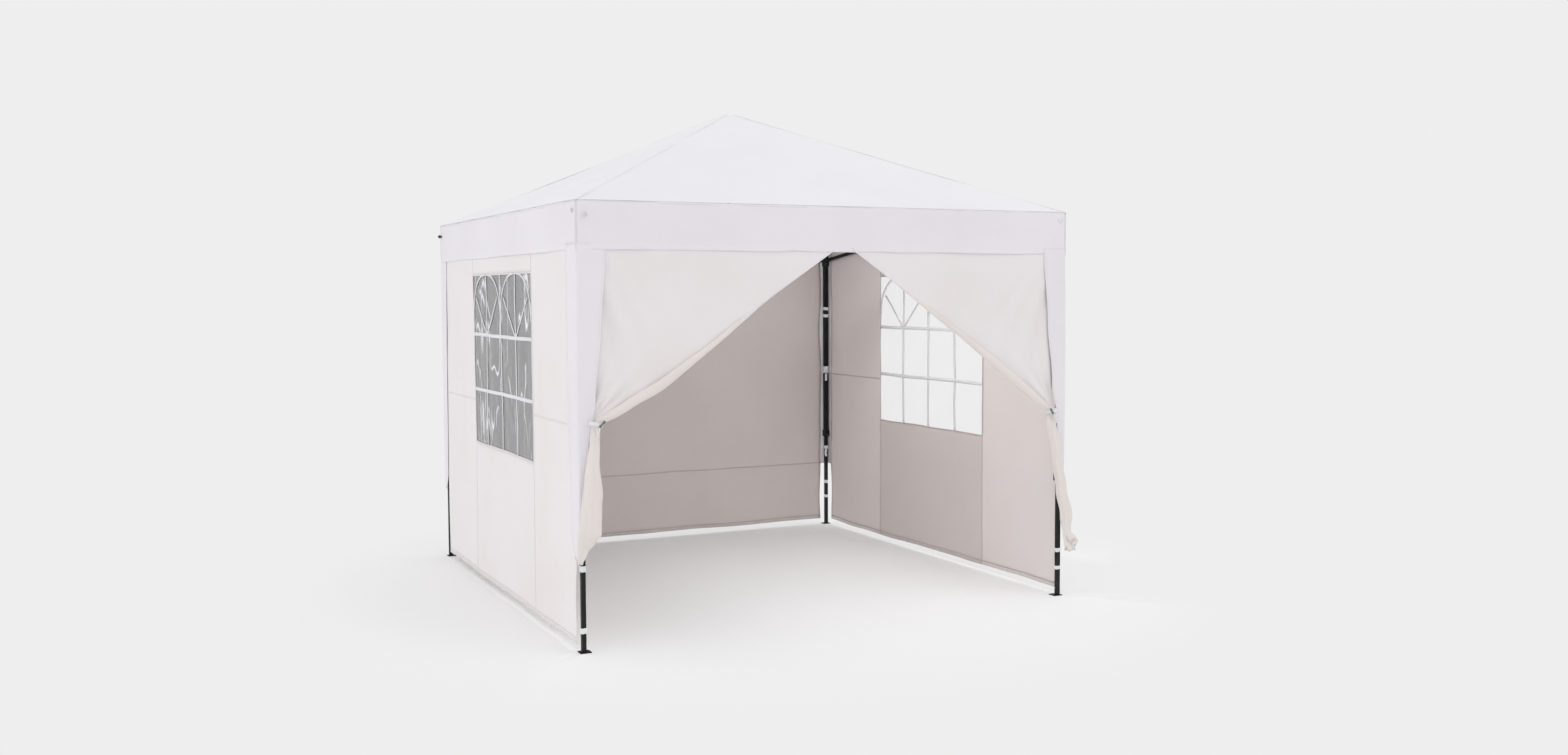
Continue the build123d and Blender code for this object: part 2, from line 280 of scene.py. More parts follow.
# each cloth's name, its colour, the colour between its faint blotches, its roughness and how creased it is
ROOF_CLOTH = cloth("roof_cloth", (0.88, 0.875, 0.91), (0.86, 0.85, 0.89), 0.62, 0.10)
# the roof cloth painted darker for the valance and leg covers: painted shade on their hanging faces
VALANCE_PAINTED_SHADE = cloth("valance_painted_shade", (0.845, 0.815, 0.86), (0.815, 0.785, 0.835), 0.62, 0.14)
HEM_CLOTH = cloth("hem_cloth", (0.85, 0.825, 0.865), (0.83, 0.80, 0.845), 0.62, 0.05)
WALL_CLOTH = cloth("wall_cloth", (0.86, 0.82, 0.83), (0.84, 0.785, 0.79), 0.68, 0.14)
# the wall cloth's inside face: the same cloth painted darker, painted shade inside the canopy
WALL_INSIDE_PAINTED_SHADE = cloth("wall_inside_painted_shade", (0.70, 0.64, 0.62), (0.67, 0.61, 0.595), 0.72, 0.12)
# a paler copy of the wall cloth's inside face: painted light
WALL_INSIDE_PAINTED_LIGHT = cloth("wall_inside_painted_light", (0.81, 0.755, 0.735), (0.785, 0.73, 0.71), 0.72, 0.12)
SEAM_CLOTH = cloth("seam_cloth", (0.83, 0.785, 0.795), (0.81, 0.76, 0.77), 0.7, 0.05)
# the door curtains' inside face: the wall cloth painted darker, painted shade
DOOR_INSIDE_PAINTED_SHADE = cloth("door_inside_painted_shade", (0.82, 0.765, 0.74), (0.79, 0.735, 0.71), 0.72, 0.12)
# the seams on the inside face: that face's painted shade, a little darker again along the seams
SEAM_INSIDE_PAINTED_SHADE = cloth("seam_inside_painted_shade", (0.59, 0.53, 0.51), (0.56, 0.50, 0.485), 0.7, 0.05)
STRAP_CLOTH = cloth("strap_webbing", (0.85, 0.85, 0.86), (0.76, 0.76, 0.78), 0.6, 0.05)
BAR_CLOTH = cloth("window_bar_tape", (0.86, 0.86, 0.88), (0.8, 0.8, 0.83), 0.5, 0.03)
FILM_CLEAR = clear_film("window_film_clear")
FILM_PAINTED_GLINTS = painted_glint_film("window_film_painted_glints")
LEG_METAL = coated_metal("leg_powder_coat", (0.012, 0.011, 0.011), 0.5)
BAR_METAL = coated_metal("bar_powder_coat", (0.014, 0.013, 0.013), 0.5)
JOINT_PLASTIC = moulded_plastic("joint_plastic", (0.016, 0.015, 0.015))
BUTTON_PLASTIC = moulded_plastic("button_plastic", (0.04, 0.04, 0.045))
TOGGLE_SMOKE = moulded_plastic("toggle_smoke_plastic", (0.17, 0.17, 0.18))
TOGGLE_PLASTIC = moulded_plastic("toggle_plastic", (0.62, 0.62, 0.64))


# ---- mesh helpers ----

def piece(name, verts, faces, material, body):
    """A smooth-shaded mesh object that rides on a body."""
    mesh = bpy.data.meshes.new(name)
    mesh.from_pydata([tuple(v) for v in verts], [], faces)
    mesh.materials.append(material)
    mesh.polygons.foreach_set("use_smooth", [True] * len(faces))
    mesh.update()
    obj = bpy.data.objects.new(name, mesh)
    bpy.context.scene.collection.objects.link(obj)
    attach(obj, body)
    return obj


def grid(columns, rows, point):
    """Vertices and faces of a sheet; point(u, v) gives each vertex, with u and v from 0 to 1."""
    verts = [point(i / columns, j / rows) for j in range(rows + 1) for i in range(columns + 1)]
    faces = []
    for j in range(rows):
        for i in range(columns):
            a = j * (columns + 1) + i
            faces.append((a, a + 1, a + columns + 2, a + columns + 1))
    return verts, faces


def thicken(obj, thickness, far_material=None):
    """Gives a sheet its thickness, away from its normals. The face that this adds takes far_material."""
    if far_material:
        obj.data.materials.append(far_material)
    solid = obj.modifiers.new("cloth", "SOLIDIFY")
    solid.thickness = thickness
    solid.offset = -1.0
    solid.use_rim = True
    if far_material:
        solid.material_offset = len(obj.data.materials) - 1
    bpy.context.view_layer.update()
    graph = bpy.context.evaluated_depsgraph_get()
    made = bpy.data.meshes.new_from_object(obj.evaluated_get(graph))
    obj.modifiers.clear()
    obj.data = made


def ring_faces(rings, sides, closed=False):
    """Faces between rings of vertices that follow each other; closed joins the last ring to the first."""
    faces = []
    for ring in range(rings if closed else rings - 1):
        here, ahead = ring * sides, (ring + 1) % rings * sides
        for i in range(sides):
            j = (i + 1) % sides
            faces.append((here + i, here + j, ahead + j, ahead + i))
    return faces


def end_faces(rings, sides):
    """The two faces that close the first and the last ring."""
    last = (rings - 1) * sides
    return [tuple(reversed(range(sides))), tuple(range(last, last + sides))]


def ribbon(path, across, width, thickness):
    """Box-section strip along a path. across(i) is the direction of its width at point i."""
    verts = []
    for i, p in enumerate(path):
        ahead = path[min(i + 1, len(path) - 1)] - path[max(i - 1, 0)]
        side = across(i).normalized()
        up = ahead.cross(side).normalized()
        for w, h in ((-1, -1), (1, -1), (1, 1), (-1, 1)):
            verts.append(p + side * (w * width / 2) + up * (h * thickness / 2))
    return verts, ring_faces(len(path), 4) + end_faces(len(path), 4)


def lathe(middle, axis, side_way, up_way, stations, sides):
    """A round shape about an axis, closed at both ends; stations are (distance along it, radius)."""
    verts = []
    for distance, radius in stations:
        for i in range(sides):
            a = i / sides * 2 * math.pi
            spoke = side_way * (math.cos(a) * radius) + up_way * (math.sin(a) * radius)
            verts.append(middle + axis * distance + spoke)
    return verts, ring_faces(len(stations), sides) + end_faces(len(stations), sides)


def join_parts(parts):
    """Joins several (verts, faces) lists into one."""
    verts, faces = [], []
    for v, f in parts:
        base = len(verts)
        verts += v
        faces += [tuple(i + base for i in face) for face in f]
    return verts, faces


def turned(verts, k):
    matrix = turn(k)
    return [matrix @ Vector(v) for v in verts]


def squash_sideways(obj):
    """Gives the piece its own copy of its mesh."""
    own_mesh(obj)


def trim(name, shape, material, k, body):
    """A small piece drawn for the front side and turned to side k."""
    verts, faces = shape
    obj = piece(name, turned(verts, k), faces, material, body)
    squash_sideways(obj)
    return obj


# ---- the roof: one pyramid-shaped skin, sewn from four panels along its hips ----

PEAK_ROUND = 0.010
SAG = 0.016
HIP_PULL = 0.004  # how far the hips are drawn in between the peak and the corners


def roof_height(x, y):
    """Height of the roof skin: a pyramid with soft hips, a rounded peak and a slight sag."""
    a, b = abs(x) / COVER, abs(y) / COVER
    softness = 0.012 + 0.02 * (1 - max(a, b))
    ridge = (a + b + math.sqrt((a - b) ** 2 + softness ** 2)) / 2
    peak = math.sqrt(ridge ** 2 + PEAK_ROUND ** 2)
    rest = mix(APEX + 0.004, EAVE, min(1.0, peak / (1 + softness / 4)))
    centre_share = min(a, b) / max(a, b, 1e-6)
    sag = SAG * math.sin(math.pi * min(1.0, max(a, b))) * (1 - centre_share ** 2)
    hip_pull = HIP_PULL * math.sin(math.pi * min(1.0, max(a, b))) * centre_share ** 2
    return rest - sag - hip_pull


def roof_creases(x, y):
    """Fine tension creases that fan out from the corners and from the peak."""
    a, b = abs(x) / COVER, abs(y) / COVER
    out = max(a, b)
    near_corner = smooth((min(a, b) - 0.45) / 0.5)
    spread = math.atan2(1.06 - b, 1.06 - a)
    fan = 0.0022 * near_corner * math.sin(spread * 26 + 3 * wave(x, y, 3, 0.5))
    cloth_wave = 0.0035 * wave(x, y, 11, 0.42) * math.sin(math.pi * min(1, out))
    return fan + cloth_wave


def roof_point(u, v):
    """u runs along the eave, v from the eave up to the peak, on the front panel."""
    inward = v ** 0.92
    half = COVER * (1 - inward)
    x = (2 * u - 1) * half
    y = -half if half > 0 else 0.0
    return Vector((x, y, 0))


def finish_roof_vertex(p):
    edge = max(abs(p.x), abs(p.y)) / COVER
    z = roof_height(p.x, p.y) + roof_creases(p.x, p.y) * smooth((1 - edge) * 9)
    return Vector((p.x, p.y, z))


def roof_normal(x, y, step=0.004):
    """Normal of the skin without its creases, the same on both sides of a hip, so the hips shade softly."""
    slope_x = (roof_height(x + step, y) - roof_height(x - step, y)) / (2 * step)
    slope_y = (roof_height(x, y + step) - roof_height(x, y - step)) / (2 * step)
    return Vector((-slope_x, -slope_y, 1)).normalized()


for k, side in enumerate(SIDES):
    verts, faces = grid(96, 64, roof_point)
    verts = [finish_roof_vertex(turn(k) @ v) for v in verts]
    panel = piece(f"roof_panel_cloth_{side}", verts, faces, ROOF_CLOTH, f"roof_{side}")
    panel.data.normals_split_custom_set_from_vertices([roof_normal(v.x, v.y) for v in verts])
    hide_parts(f"roof_panel_{side}")
    squash_sideways(panel)

# hip seams: a narrow felled seam over each hip, carried by the panel on its left
for k, side in enumerate(SIDES):
    path = []
    for i in range(49):
        out = COVER * (0.02 + 0.975 * i / 48)
        p = turn(k) @ Vector((out, -out, 0))
        path.append(Vector((p.x, p.y, roof_height(p.x, p.y) + 0.0002)))
    level = turn(k) @ Vector((1, 1, 0))
    verts, faces = ribbon(path, lambda i: level, *HIP_SEAM)
    seam = piece(f"hip_seam_{CORNERS[k]}", verts, faces, ROOF_CLOTH, f"roof_{side}")
    squash_sideways(seam)


# ---- the valance ----

CORNER_ROUND = 0.016
VALANCE_EDGE = COVER - 0.0006
HEM_HEIGHT = 0.024


def valance_wave(x, depth, seed):
    """How far the valance stands in or out of its plane, more towards its free lower edge."""
    hold = smooth((COVER - abs(x)) * 6)
    broad = 0.0045 * depth * wave(x, depth * 0.2, seed, 0.33)
    fine = 0.0018 * wave(x, depth, seed + 1, 0.12)
    return hold * (broad + fine)


def valance_point(x, z, seed, out=0.0):
    depth = (EAVE - z) / (EAVE - VALANCE_LOW)
    low = 0.0035 * wave(x, 0, seed + 5, 0.5) * depth * smooth((COVER - abs(x)) * 8)
    corner = max(0.0, abs(x) - (COVER - CORNER_ROUND)) / CORNER_ROUND
    bend = CORNER_ROUND * (1 - math.sqrt(max(0.0, 1 - corner * corner))) * 0.3
    y = -COVER + 0.0012 - out + bend + valance_wave(x, depth, seed)
    return Vector((x, y, z + low))


for k, side in enumerate(SIDES):
    seed = 20 + 9 * k
    body = f"side_middle_{side}"
    top, low = EAVE + 0.0005, VALANCE_LOW

    def face_point(u, v):
        return valance_point((2 * u - 1) * VALANCE_EDGE, mix(top, low, v), seed)

    verts, faces = grid(150, 12, face_point)
    # the strip's normals face inward, so the outside is the face that thicken adds
    strip = piece(f"valance_{side}", turned(verts, k), faces, ROOF_CLOTH, body)
    # the outside takes the darker copy of the roof cloth: painted shade on the hanging face
    thicken(strip, CLOTH_THICKNESS, VALANCE_PAINTED_SHADE)
    squash_sideways(strip)

    def hem_point(u, v):
        x = (2 * u - 1) * VALANCE_EDGE
        z = low + HEM_HEIGHT * (1 - v) - 0.0005
        round_out = 0.0011 * math.sin(math.pi * v)
        return valance_point(x, z, seed, 0.0004 + round_out)

    hem = trim(f"valance_hem_{side}", grid(150, 6, hem_point), HEM_CLOTH, k, body)
    seam_xs = [(i / 60 - 0.5) * 2 * (COVER - 0.002) for i in range(61)]
    path = [valance_point(x, EAVE - 0.005, seed, 0.0004) for x in seam_xs]
    seam = ribbon(path, lambda i: Vector((0, 0, 1)), *EAVE_SEAM)
    seam = trim(f"eave_seam_{side}", seam, HEM_CLOTH, k, body)


# ---- side walls ----

WINDOW_HALF = 0.545
WINDOW_LOW = 0.735
WINDOW_HIGH = 1.605
WINDOW_BARS = (1.015, 1.30)  # heights of the level bars
SEAM_HEIGHT = {"right": 0.985, "left": 0.955, "back": 0.40}
WINDOW_SHIFT = {"right": 0.0, "left": 0.03, "back": 0.0}
FAR_EDGE = {"right": 0.012, "back": 0.0, "left": -0.042}  # how far a side wall stops short of the back leg
TRUSS_LOW = 1.68  # below this height the walls hang clear of the truss
WALL_SEED = {"right": 41, "back": 67, "left": 83}


def wall_bulge(x, z, seed):
    """How far a wall hangs off its plane: broad soft folds, calmer at the held edges."""
    across = smooth((WALL_HALF + 0.02 - abs(x)) * 7)
    up = smooth((TRUSS_LOW - z) * 2.6)
    broad = 0.010 * wave(x, z * 0.25, seed, 0.36)
    fine = 0.0035 * wave(x, z * 0.3, seed + 2, 0.13)
    pull = 0.0025 * math.sin(x * 9.5 + z * 2.1 + seed) * smooth((1.2 - z) * 1.2)
    return across * up * (broad + fine + pull)


def wall_point(x, z, side, out=0.0):
    """A point of a wall drawn on the front side; its side edges and hem are a little wavy."""
    seed = WALL_SEED[side]
    far = FAR_EDGE[side]
    edge = smooth((abs(x) - WALL_HALF + 0.12) / 0.12)
    hold = 0.013 * wave(0.3, z, seed + math.copysign(4, x), 0.21) * edge
    hold -= far * smooth((x * math.copysign(1, far) - 0.75) / 0.45)
    ripple = 0.006 * wave(x * 0.6, z, seed + 21, 0.16) * smooth((0.75 - abs(x)) * 4) * smooth((1.7 - z) * 3)
    low = smooth((0.5 - z) / 0.45)
    hem = 0.007 * wave(x, 0.2, seed + 6, 0.4) * low
    y = -WALL + 0.0015 - out + abs(wall_bulge(x, z, seed)) * 0.9
    return Vector((x + hold + ripple - math.copysign(0.006, x) * edge * low, y, z + hem - ripple * 0.7))


def steps(low, high, marks, spacing):
    """Even steps between low and high that also fall on every mark."""
    stops = sorted({low, high, *marks})
    out = []
    for a, b in zip(stops, stops[1:]):
        count = max(1, round((b - a) / spacing))
        out += [mix(a, b, i / count) for i in range(count)]
    return out + [high]


def sheet_from_lines(xs, zs, point, hole=None):
    """A sheet whose grid lines are xs and zs, without the cells inside hole."""
    verts = [point(x, z) for z in zs for x in xs]
    faces = []
    for j in range(len(zs) - 1):
        for i in range(len(xs) - 1):
            x, z = (xs[i] + xs[i + 1]) / 2, (zs[j] + zs[j + 1]) / 2
            if hole and hole[0] < x < hole[1] and hole[2] < z < hole[3]:
                continue
            a = j * len(xs) + i
            faces.append((a, a + 1, a + len(xs) + 1, a + len(xs)))
    used = sorted({i for f in faces for i in f})
    place = {old: new for new, old in enumerate(used)}
    return [verts[i] for i in used], [tuple(place[i] for i in f) for f in faces]


def line(x0, z0, x1, z1, spacing=0.03):
    """Points (x, z) of a straight route on a wall."""
    count = max(2, round(math.hypot(x1 - x0, z1 - z0) / spacing))
    return [(mix(x0, x1, i / count), mix(z0, z1, i / count)) for i in range(count + 1)]


def wall_strip(route, side, out, width, thickness):
    """A flat strip along a route on the wall; its width lies in the wall, square to the route."""
    path = [wall_point(x, z, side, out) for x, z in route]

    def across(i):
        ahead = path[min(i + 1, len(path) - 1)] - path[max(i - 1, 0)]
        return Vector((ahead.z, 0, -ahead.x))

    return ribbon(path, across, width, thickness)


def arch(x_foot, x_peak, z_foot, z_peak):
    """Half of a pointed arch: it leaves its foot upright and leans over to the peak."""
    out = []
    for i in range(15):
        turned_by = i / 14 * math.pi / 2
        x = mix(x_foot, x_peak, 1 - math.cos(turned_by))
        z = mix(z_foot, z_peak, math.sin(turned_by) ** 0.9)
        out.append((x, z))
    return out


def window_span(side):
    """Where the window begins and ends along the wall."""
    return WINDOW_SHIFT[side] - WINDOW_HALF, WINDOW_SHIFT[side] + WINDOW_HALF


def window_lattice(side, out):
    """White tapes welded on the film: two level bars, three uprights and interlaced pointed arches."""
    centre = WINDOW_SHIFT[side]
    left, right = window_span(side)
    column = WINDOW_HALF / 2
    foot, peak = WINDOW_BARS[1], WINDOW_HIGH
    parts = []
    for z in WINDOW_BARS:
        parts.append(wall_strip(line(left, z, right, z), side, out, *LEVEL_TAPE))
    for i in (-1, 0, 1):
        x = centre + i * column
        parts.append(wall_strip(line(x, WINDOW_LOW, x, WINDOW_HIGH), side, out, *UPRIGHT_TAPE))
    for post in (-column, column):
        for way in (-1, 1):
            spread = line(0, foot, column * 0.78, foot + 0.19)
            lean = arch(column * 0.99, column * 0.12, foot + 0.08, peak)
            for bow in (spread, lean):
                route = [(centre + post + way * x, z) for x, z in bow]
                parts.append(wall_strip(route, side, out, *ARCH_TAPE))
    return join_parts(parts)


def seam_routes(side):
    """The hem's stitching, the level seam and, where there is a window, the seams round it."""
    low, high = WALL_LOW, WALL_TOP
    seam_z = SEAM_HEIGHT[side]
    hem = line(-WALL_HALF + 0.01, low + 0.022, WALL_HALF - 0.01, low + 0.022)
    if side == "back":
        return [hem, line(-WALL_HALF, seam_z, WALL_HALF, seam_z)]
    left, right = window_span(side)
    routes = [hem]
    for x in (left, right):
        routes.append(line(x, low + 0.01, x, high - 0.02))
    routes.append(line(right, seam_z, WALL_HALF, seam_z))
    if side == "left":
        routes.append(line(-WALL_HALF, seam_z, left, seam_z))
    for z in (WINDOW_LOW, WINDOW_HIGH):
        routes.append(line(left, z, right, z))
    return routes


def film_point(x, z, side):
    """A point of the window film, which is creased except at its welded edges."""
    p = wall_point(x, z, side)
    seed = WALL_SEED[side]
    inside = smooth((WINDOW_HALF - abs(x - WINDOW_SHIFT[side])) * 25)
    inside *= smooth((z - WINDOW_LOW) * 25) * smooth((WINDOW_HIGH - z) * 25)
    crease = wave(x, z * 0.5, seed + 12, 0.07) + 0.6 * wave(x + z * 0.4, z * 0.3, seed + 13, 0.035)
    p.y += 0.0012 + inside * 0.0016 * crease
    return p


def add_window(k, side):
    """The film with its tapes on both faces, hung in the wall's opening."""
    body = f"side_middle_{side}"
    xs = steps(*window_span(side), [], 0.014)
    zs = steps(WINDOW_LOW, WINDOW_HIGH, [], 0.014)
    verts, faces = sheet_from_lines(xs, zs, lambda x, z: film_point(x, z, side))
    # the left window takes the copy painted grey with painted glints, the others the clear film
    paint = FILM_PAINTED_GLINTS if side == "left" else FILM_CLEAR
    film = piece(f"window_film_{side}", turned(verts, k), faces, paint, body)
    thicken(film, FILM_THICKNESS)
    squash_sideways(film)
    for face, out in (("bars", 0.0012), ("bars_inner", -0.0028)):
        tapes = window_lattice(side, out)
        trim(f"window_{face}_{side}", tapes, BAR_CLOTH, k, body)


for k, side in enumerate(SIDES):
    if side == "front":
        continue
    body = f"side_middle_{side}"
    has_window = side != "back"
    left, right = window_span(side)
    xs = steps(-WALL_HALF, WALL_HALF, [left, right], 0.022)
    zs = steps(WALL_LOW, WALL_TOP, [WINDOW_LOW, WINDOW_HIGH], 0.026)
    hole = (left, right, WINDOW_LOW, WINDOW_HIGH) if has_window else None
    verts, faces = sheet_from_lines(xs, zs, lambda x, z: wall_point(x, z, side), hole)
    wall = piece(f"wall_cloth_{side}", turned(verts, k), faces, WALL_CLOTH, body)
    # the inside face takes a darker copy of the wall cloth: painted shade
    thicken(wall, CLOTH_THICKNESS, WALL_INSIDE_PAINTED_SHADE)
    if side == "right":
        # the inside faces of the panels beside this window take a paler copy: painted light falling in on
        # them
        wall.data.materials.append(WALL_INSIDE_PAINTED_LIGHT)
        for face in wall.data.polygons:
            if face.material_index == 1 and abs(face.center.y) > WINDOW_HALF:
                face.material_index = 2
    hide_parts(f"side_wall_{side}")

    # the inner seams take a darker copy of the wall cloth: painted shade
    for face, out, paint in (("outer", 0.0006, SEAM_CLOTH), ("inner", -0.0014, SEAM_INSIDE_PAINTED_SHADE)):
        # the first route is the hem, whose cloth is double
        strips = [wall_strip(route, side, out * 2 if i == 0 else out, *WALL_SEAM)
                  for i, route in enumerate(seam_routes(side))]
        trim(f"wall_seams_{face}_{side}", join_parts(strips), paint, k, body)
    if has_window:
        add_window(k, side)
    squash_sideways(wall)


# ---- front door curtains: spread along the top, drawn aside, tied and gathered at the leg ----

SIGN = {"left": -1, "right": 1}  # a curtain is worked out at positive x, and mirrored for the left
CURTAIN_SEED = {"left": 140, "right": 171}
TIE_Z = {"left": 0.965, "right": 0.925}
EDGE_START = {"left": 0.004, "right": 0.012}  # the leading edge at the eave, from the middle of the doorway
LEG_EDGE_TOP = 1.205  # the edge at the leg starts here under the eave
SPLIT_TOP = {"left": 1.722, "right": 1.735}  # the leading edge hangs straight down to this height
SPLIT_SHARE = 0.12  # share of the edge that does
FLAT_SHARE = 0.42  # share of a curtain's width, from the leg, that isn't rolled up at its free edge
UPPER_SHARE = 0.60  # share of a curtain's length above the tie
TURNS = 6.0  # how often the loose part of a curtain is rolled round itself

# how far the leading edge hangs under its chord, along the way from the eave to the tie
EDGE_DROOP = {
    "left": [(0, 0.0), (0.30, 0.004), (0.58, 0.030), (0.74, 0.036), (0.88, 0.018), (1, 0.0)],
    "right": [(0, 0.0), (0.30, -0.012), (0.60, -0.016), (0.80, -0.008), (1, 0.0)],
}
# radius of the roll along the leading edge
EDGE_RADIUS = [(0, 0.0016), (0.30, 0.0030), (0.55, 0.012), (0.80, 0.023), (0.93, 0.021), (1, 0.016)]
# the gathered cloth below the tie, as keys of (share of the way down, metres)
BUNDLE_MIDDLE = {
    "left": [(0, 1.174), (0.12, 1.180), (0.40, 1.196), (0.68, 1.211), (0.80, 1.219), (0.86, 1.233),
             (0.92, 1.248), (1, 1.257)],
    "right": [(0, 1.162), (0.10, 1.158), (0.34, 1.172), (0.58, 1.200), (0.78, 1.231), (0.92, 1.236),
              (1, 1.252)],
}
BUNDLE_RADIUS = {
    "left": [(0, 0.016), (0.12, 0.019), (0.26, 0.025), (0.40, 0.031), (0.54, 0.037), (0.68, 0.041),
             (0.80, 0.042), (0.86, 0.032), (0.92, 0.020), (1, 0.011)],
    "right": [(0, 0.016), (0.10, 0.022), (0.30, 0.028), (0.40, 0.026), (0.55, 0.027), (0.70, 0.030),
              (0.80, 0.029), (0.86, 0.023), (0.92, 0.021), (1, 0.036)],
}
BUNDLE_FRONT = {"left": (0.25, 0.62), "right": (0.08, 0.30)}  # where it comes round to the front of the leg
BUNDLE_END = {"left": 0.396, "right": 0.262}
END_RISE = {"left": 0.012, "right": 0.030}  # unevenness of the lower end, and how far it spreads
END_SPREAD = {"left": 0.002, "right": 0.020}
TURN_OVER = {"left": (0.36, 0.24), "right": (0.30, 0.24)}  # where the edge begins to turn outside, how fast
COVER_CLEAR = 0.032  # how far the gathered cloth stands forward where it passes over the leg cover


def tie_x(side):
    return BUNDLE_MIDDLE[side][0][1]


def curtain_edge(side, t):
    """The leading edge (x, z) from the middle of the eave, t = 0, to the tie at the leg, t = 1."""
    if t < SPLIT_SHARE:
        return EDGE_START[side], mix(WALL_TOP, SPLIT_TOP[side], t / SPLIT_SHARE)
    s = (t - SPLIT_SHARE) / (1 - SPLIT_SHARE)
    x = mix(EDGE_START[side], tie_x(side), s)
    return x, mix(SPLIT_TOP[side], TIE_Z[side], s) - profile(EDGE_DROOP[side], s)


class CurtainRow:
    """One row across a curtain: where its two edges are, and how its free part is rolled.

    t is the share of the way down to the tie, or from there to the lower end. depth flattens the roll, front
    is 1 where it is in front of the leg, and turned_over goes from 1, rolled inside, to -1, rolled outside.
    """

    def __init__(self, side, v):
        self.v = v
        self.above_tie = v < UPPER_SHARE
        if self.above_tie:
            self.t = v / UPPER_SHARE
            self.x_free, self.z_free = curtain_edge(side, self.t)
            self.x_leg = mix(LEG_EDGE_TOP, tie_x(side) + 0.014, smooth((self.t - 0.60) / 0.40))
            self.z_leg = mix(WALL_TOP, TIE_Z[side] + 0.012, self.t)
            self.radius = profile(EDGE_RADIUS, self.t)
            self.depth = mix(0.40, 0.80, self.t)
            self.front = 0.0
            start, length = TURN_OVER[side]
            self.turned_over = 1 - 2 * smooth((self.t - start) / length)
        else:
            self.t = (v - UPPER_SHARE) / (1 - UPPER_SHARE)
            self.z_free = self.z_leg = mix(TIE_Z[side], BUNDLE_END[side], self.t)
            self.x_free = self.x_leg = profile(BUNDLE_MIDDLE[side], self.t)
            self.radius = profile(BUNDLE_RADIUS[side], self.t)
            first, last = BUNDLE_FRONT[side]
            self.front = smooth((self.t - first) / (last - first))
            self.depth = mix(0.80, 0.50, self.front)
            self.turned_over = -1
        self.bundle = smooth((v - UPPER_SHARE + 0.02) / 0.05)
        self.clear = smooth((TRUSS_LOW - self.z_free) * 5)


CURTAIN_Y = -WALL + 0.0015


def spread_point(side, row, s):
    """The part that hangs spread out between the leg, s = 0, and the roll, s = 1."""
    seed = CURTAIN_SEED[side]
    x = mix(row.x_leg, row.x_free, s)
    z = mix(row.z_leg, row.z_free, s)
    span = abs(row.x_leg - row.x_free)
    strain = math.atan2(WALL_TOP - z, max(0.02, COVER - x))
    ripple = 0.0035 * math.sin(strain * 30 + 2 * wave(x, z, seed, 0.4)) * smooth((x - 0.35) * 1.4)
    soft = 0.006 * wave(x, z, seed + 1, 0.35) + 0.002 * wave(x, z, seed + 2, 0.12)
    loose = smooth(span * 6) * smooth((TRUSS_LOW - z) * 3)
    pull = math.hypot(x - tie_x(side), z - TIE_Z[side])
    around = math.atan2(z - TIE_Z[side], tie_x(side) + 0.03 - x)
    folds = 0.0055 * math.exp(-pull / 0.24) * math.sin(around * 20 + 1)
    y = CURTAIN_Y + (0.010 + soft + ripple) * loose + folds * smooth(pull * 14) * smooth(span * 14)
    y -= row.front * (COVER_CLEAR + 0.10 * row.radius * (1 - s))
    return Vector((x, y, z))


def rolled_point(side, row, s):
    """The free part, rolled round itself along the leading edge and gathered below the tie."""
    seed = CURTAIN_SEED[side]
    angle = s * TURNS * 2 * math.pi
    gather = 0.22 if row.v <= UPPER_SHARE else mix(0.30, 0.40, smooth(1 - row.t * 5))
    crease = 2 * abs(math.sin(angle * 1.75 + 2 * row.v + seed)) ** 0.6 - 1.2
    pleat = row.bundle * (gather * crease + 0.16 * wave(angle, row.z_free * 3, seed + 3, 1.1))
    r = row.radius * (1 - 0.42 * s) * (1 + pleat)
    outward = Vector((-1, 0, 0))
    if row.above_tie:
        ahead_x, ahead_z = curtain_edge(side, min(1, row.t + 0.03))
        along = Vector((ahead_x - row.x_free, 0, ahead_z - row.z_free))
        along = along.normalized() if along.length > 1e-6 else Vector((0, 0, -1))
        outward = Vector((-abs(along.z), 0, -abs(along.x))).normalized()
    y = CURTAIN_Y + 0.008 * (1 - row.bundle) * row.clear - COVER_CLEAR * row.front
    y += row.turned_over * row.radius * row.depth * mix(row.clear, 1.0, row.bundle)
    y -= row.turned_over * math.cos(angle) * r * row.depth
    sway = 0.4 * row.radius * wave(angle * 0.3, row.z_free, seed + 8, 0.2) * row.bundle
    p = Vector((row.x_free, y, row.z_free)) + outward * (math.sin(angle) * r + sway)
    if row.v > UPPER_SHARE:
        tail = smooth((row.t - 0.84) / 0.16)
        p.z += tail * END_RISE[side] * math.sin(angle * 1.3 + seed)
        p.x += tail * END_SPREAD[side] * (0.5 + 0.5 * math.sin(angle + 1))
    return p


def curtain_point(side, u, v):
    """u runs from the leg to the free edge and on into the roll, v from the eave down to the lower end."""
    row = CurtainRow(side, v)
    if u < FLAT_SHARE:
        p = spread_point(side, row, u / FLAT_SHARE)
    else:
        p = rolled_point(side, row, (u - FLAT_SHARE) / (1 - FLAT_SHARE))
    return Vector((SIGN[side] * p.x, p.y, p.z))


for side in ("left", "right"):
    verts, faces = grid(320, 120, lambda u, v: curtain_point(side, u, v))
    if side == "right":
        faces = [tuple(reversed(f)) for f in faces]
    # both curtains' normals face the inside of the canopy
    door = piece(f"door_curtain_{side}", verts, faces, DOOR_INSIDE_PAINTED_SHADE, "side_middle_front")
    # the outside takes the wall cloth, the inside face a darker copy of it: painted shade
    thicken(door, CLOTH_THICKNESS, WALL_CLOTH)
    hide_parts("door_curtains")

    just_outside = Vector((0, -0.0012, 0))
    hem_route = [curtain_point(side, FLAT_SHARE, UPPER_SHARE * i / 60) + just_outside for i in range(9, 59)]
    hem_way = Vector((-0.5 * SIGN[side], 0, 0.86))
    hem = ribbon(hem_route, lambda i: hem_way, *CURTAIN_HEM)
    edge_hem = trim(f"door_edge_hem_{side}", hem, HEM_CLOTH, 0, "side_middle_front")
    squash_sideways(door)


# ---- leg covers: the roof's cloth comes down over the outside of each leg in two tapering flaps ----

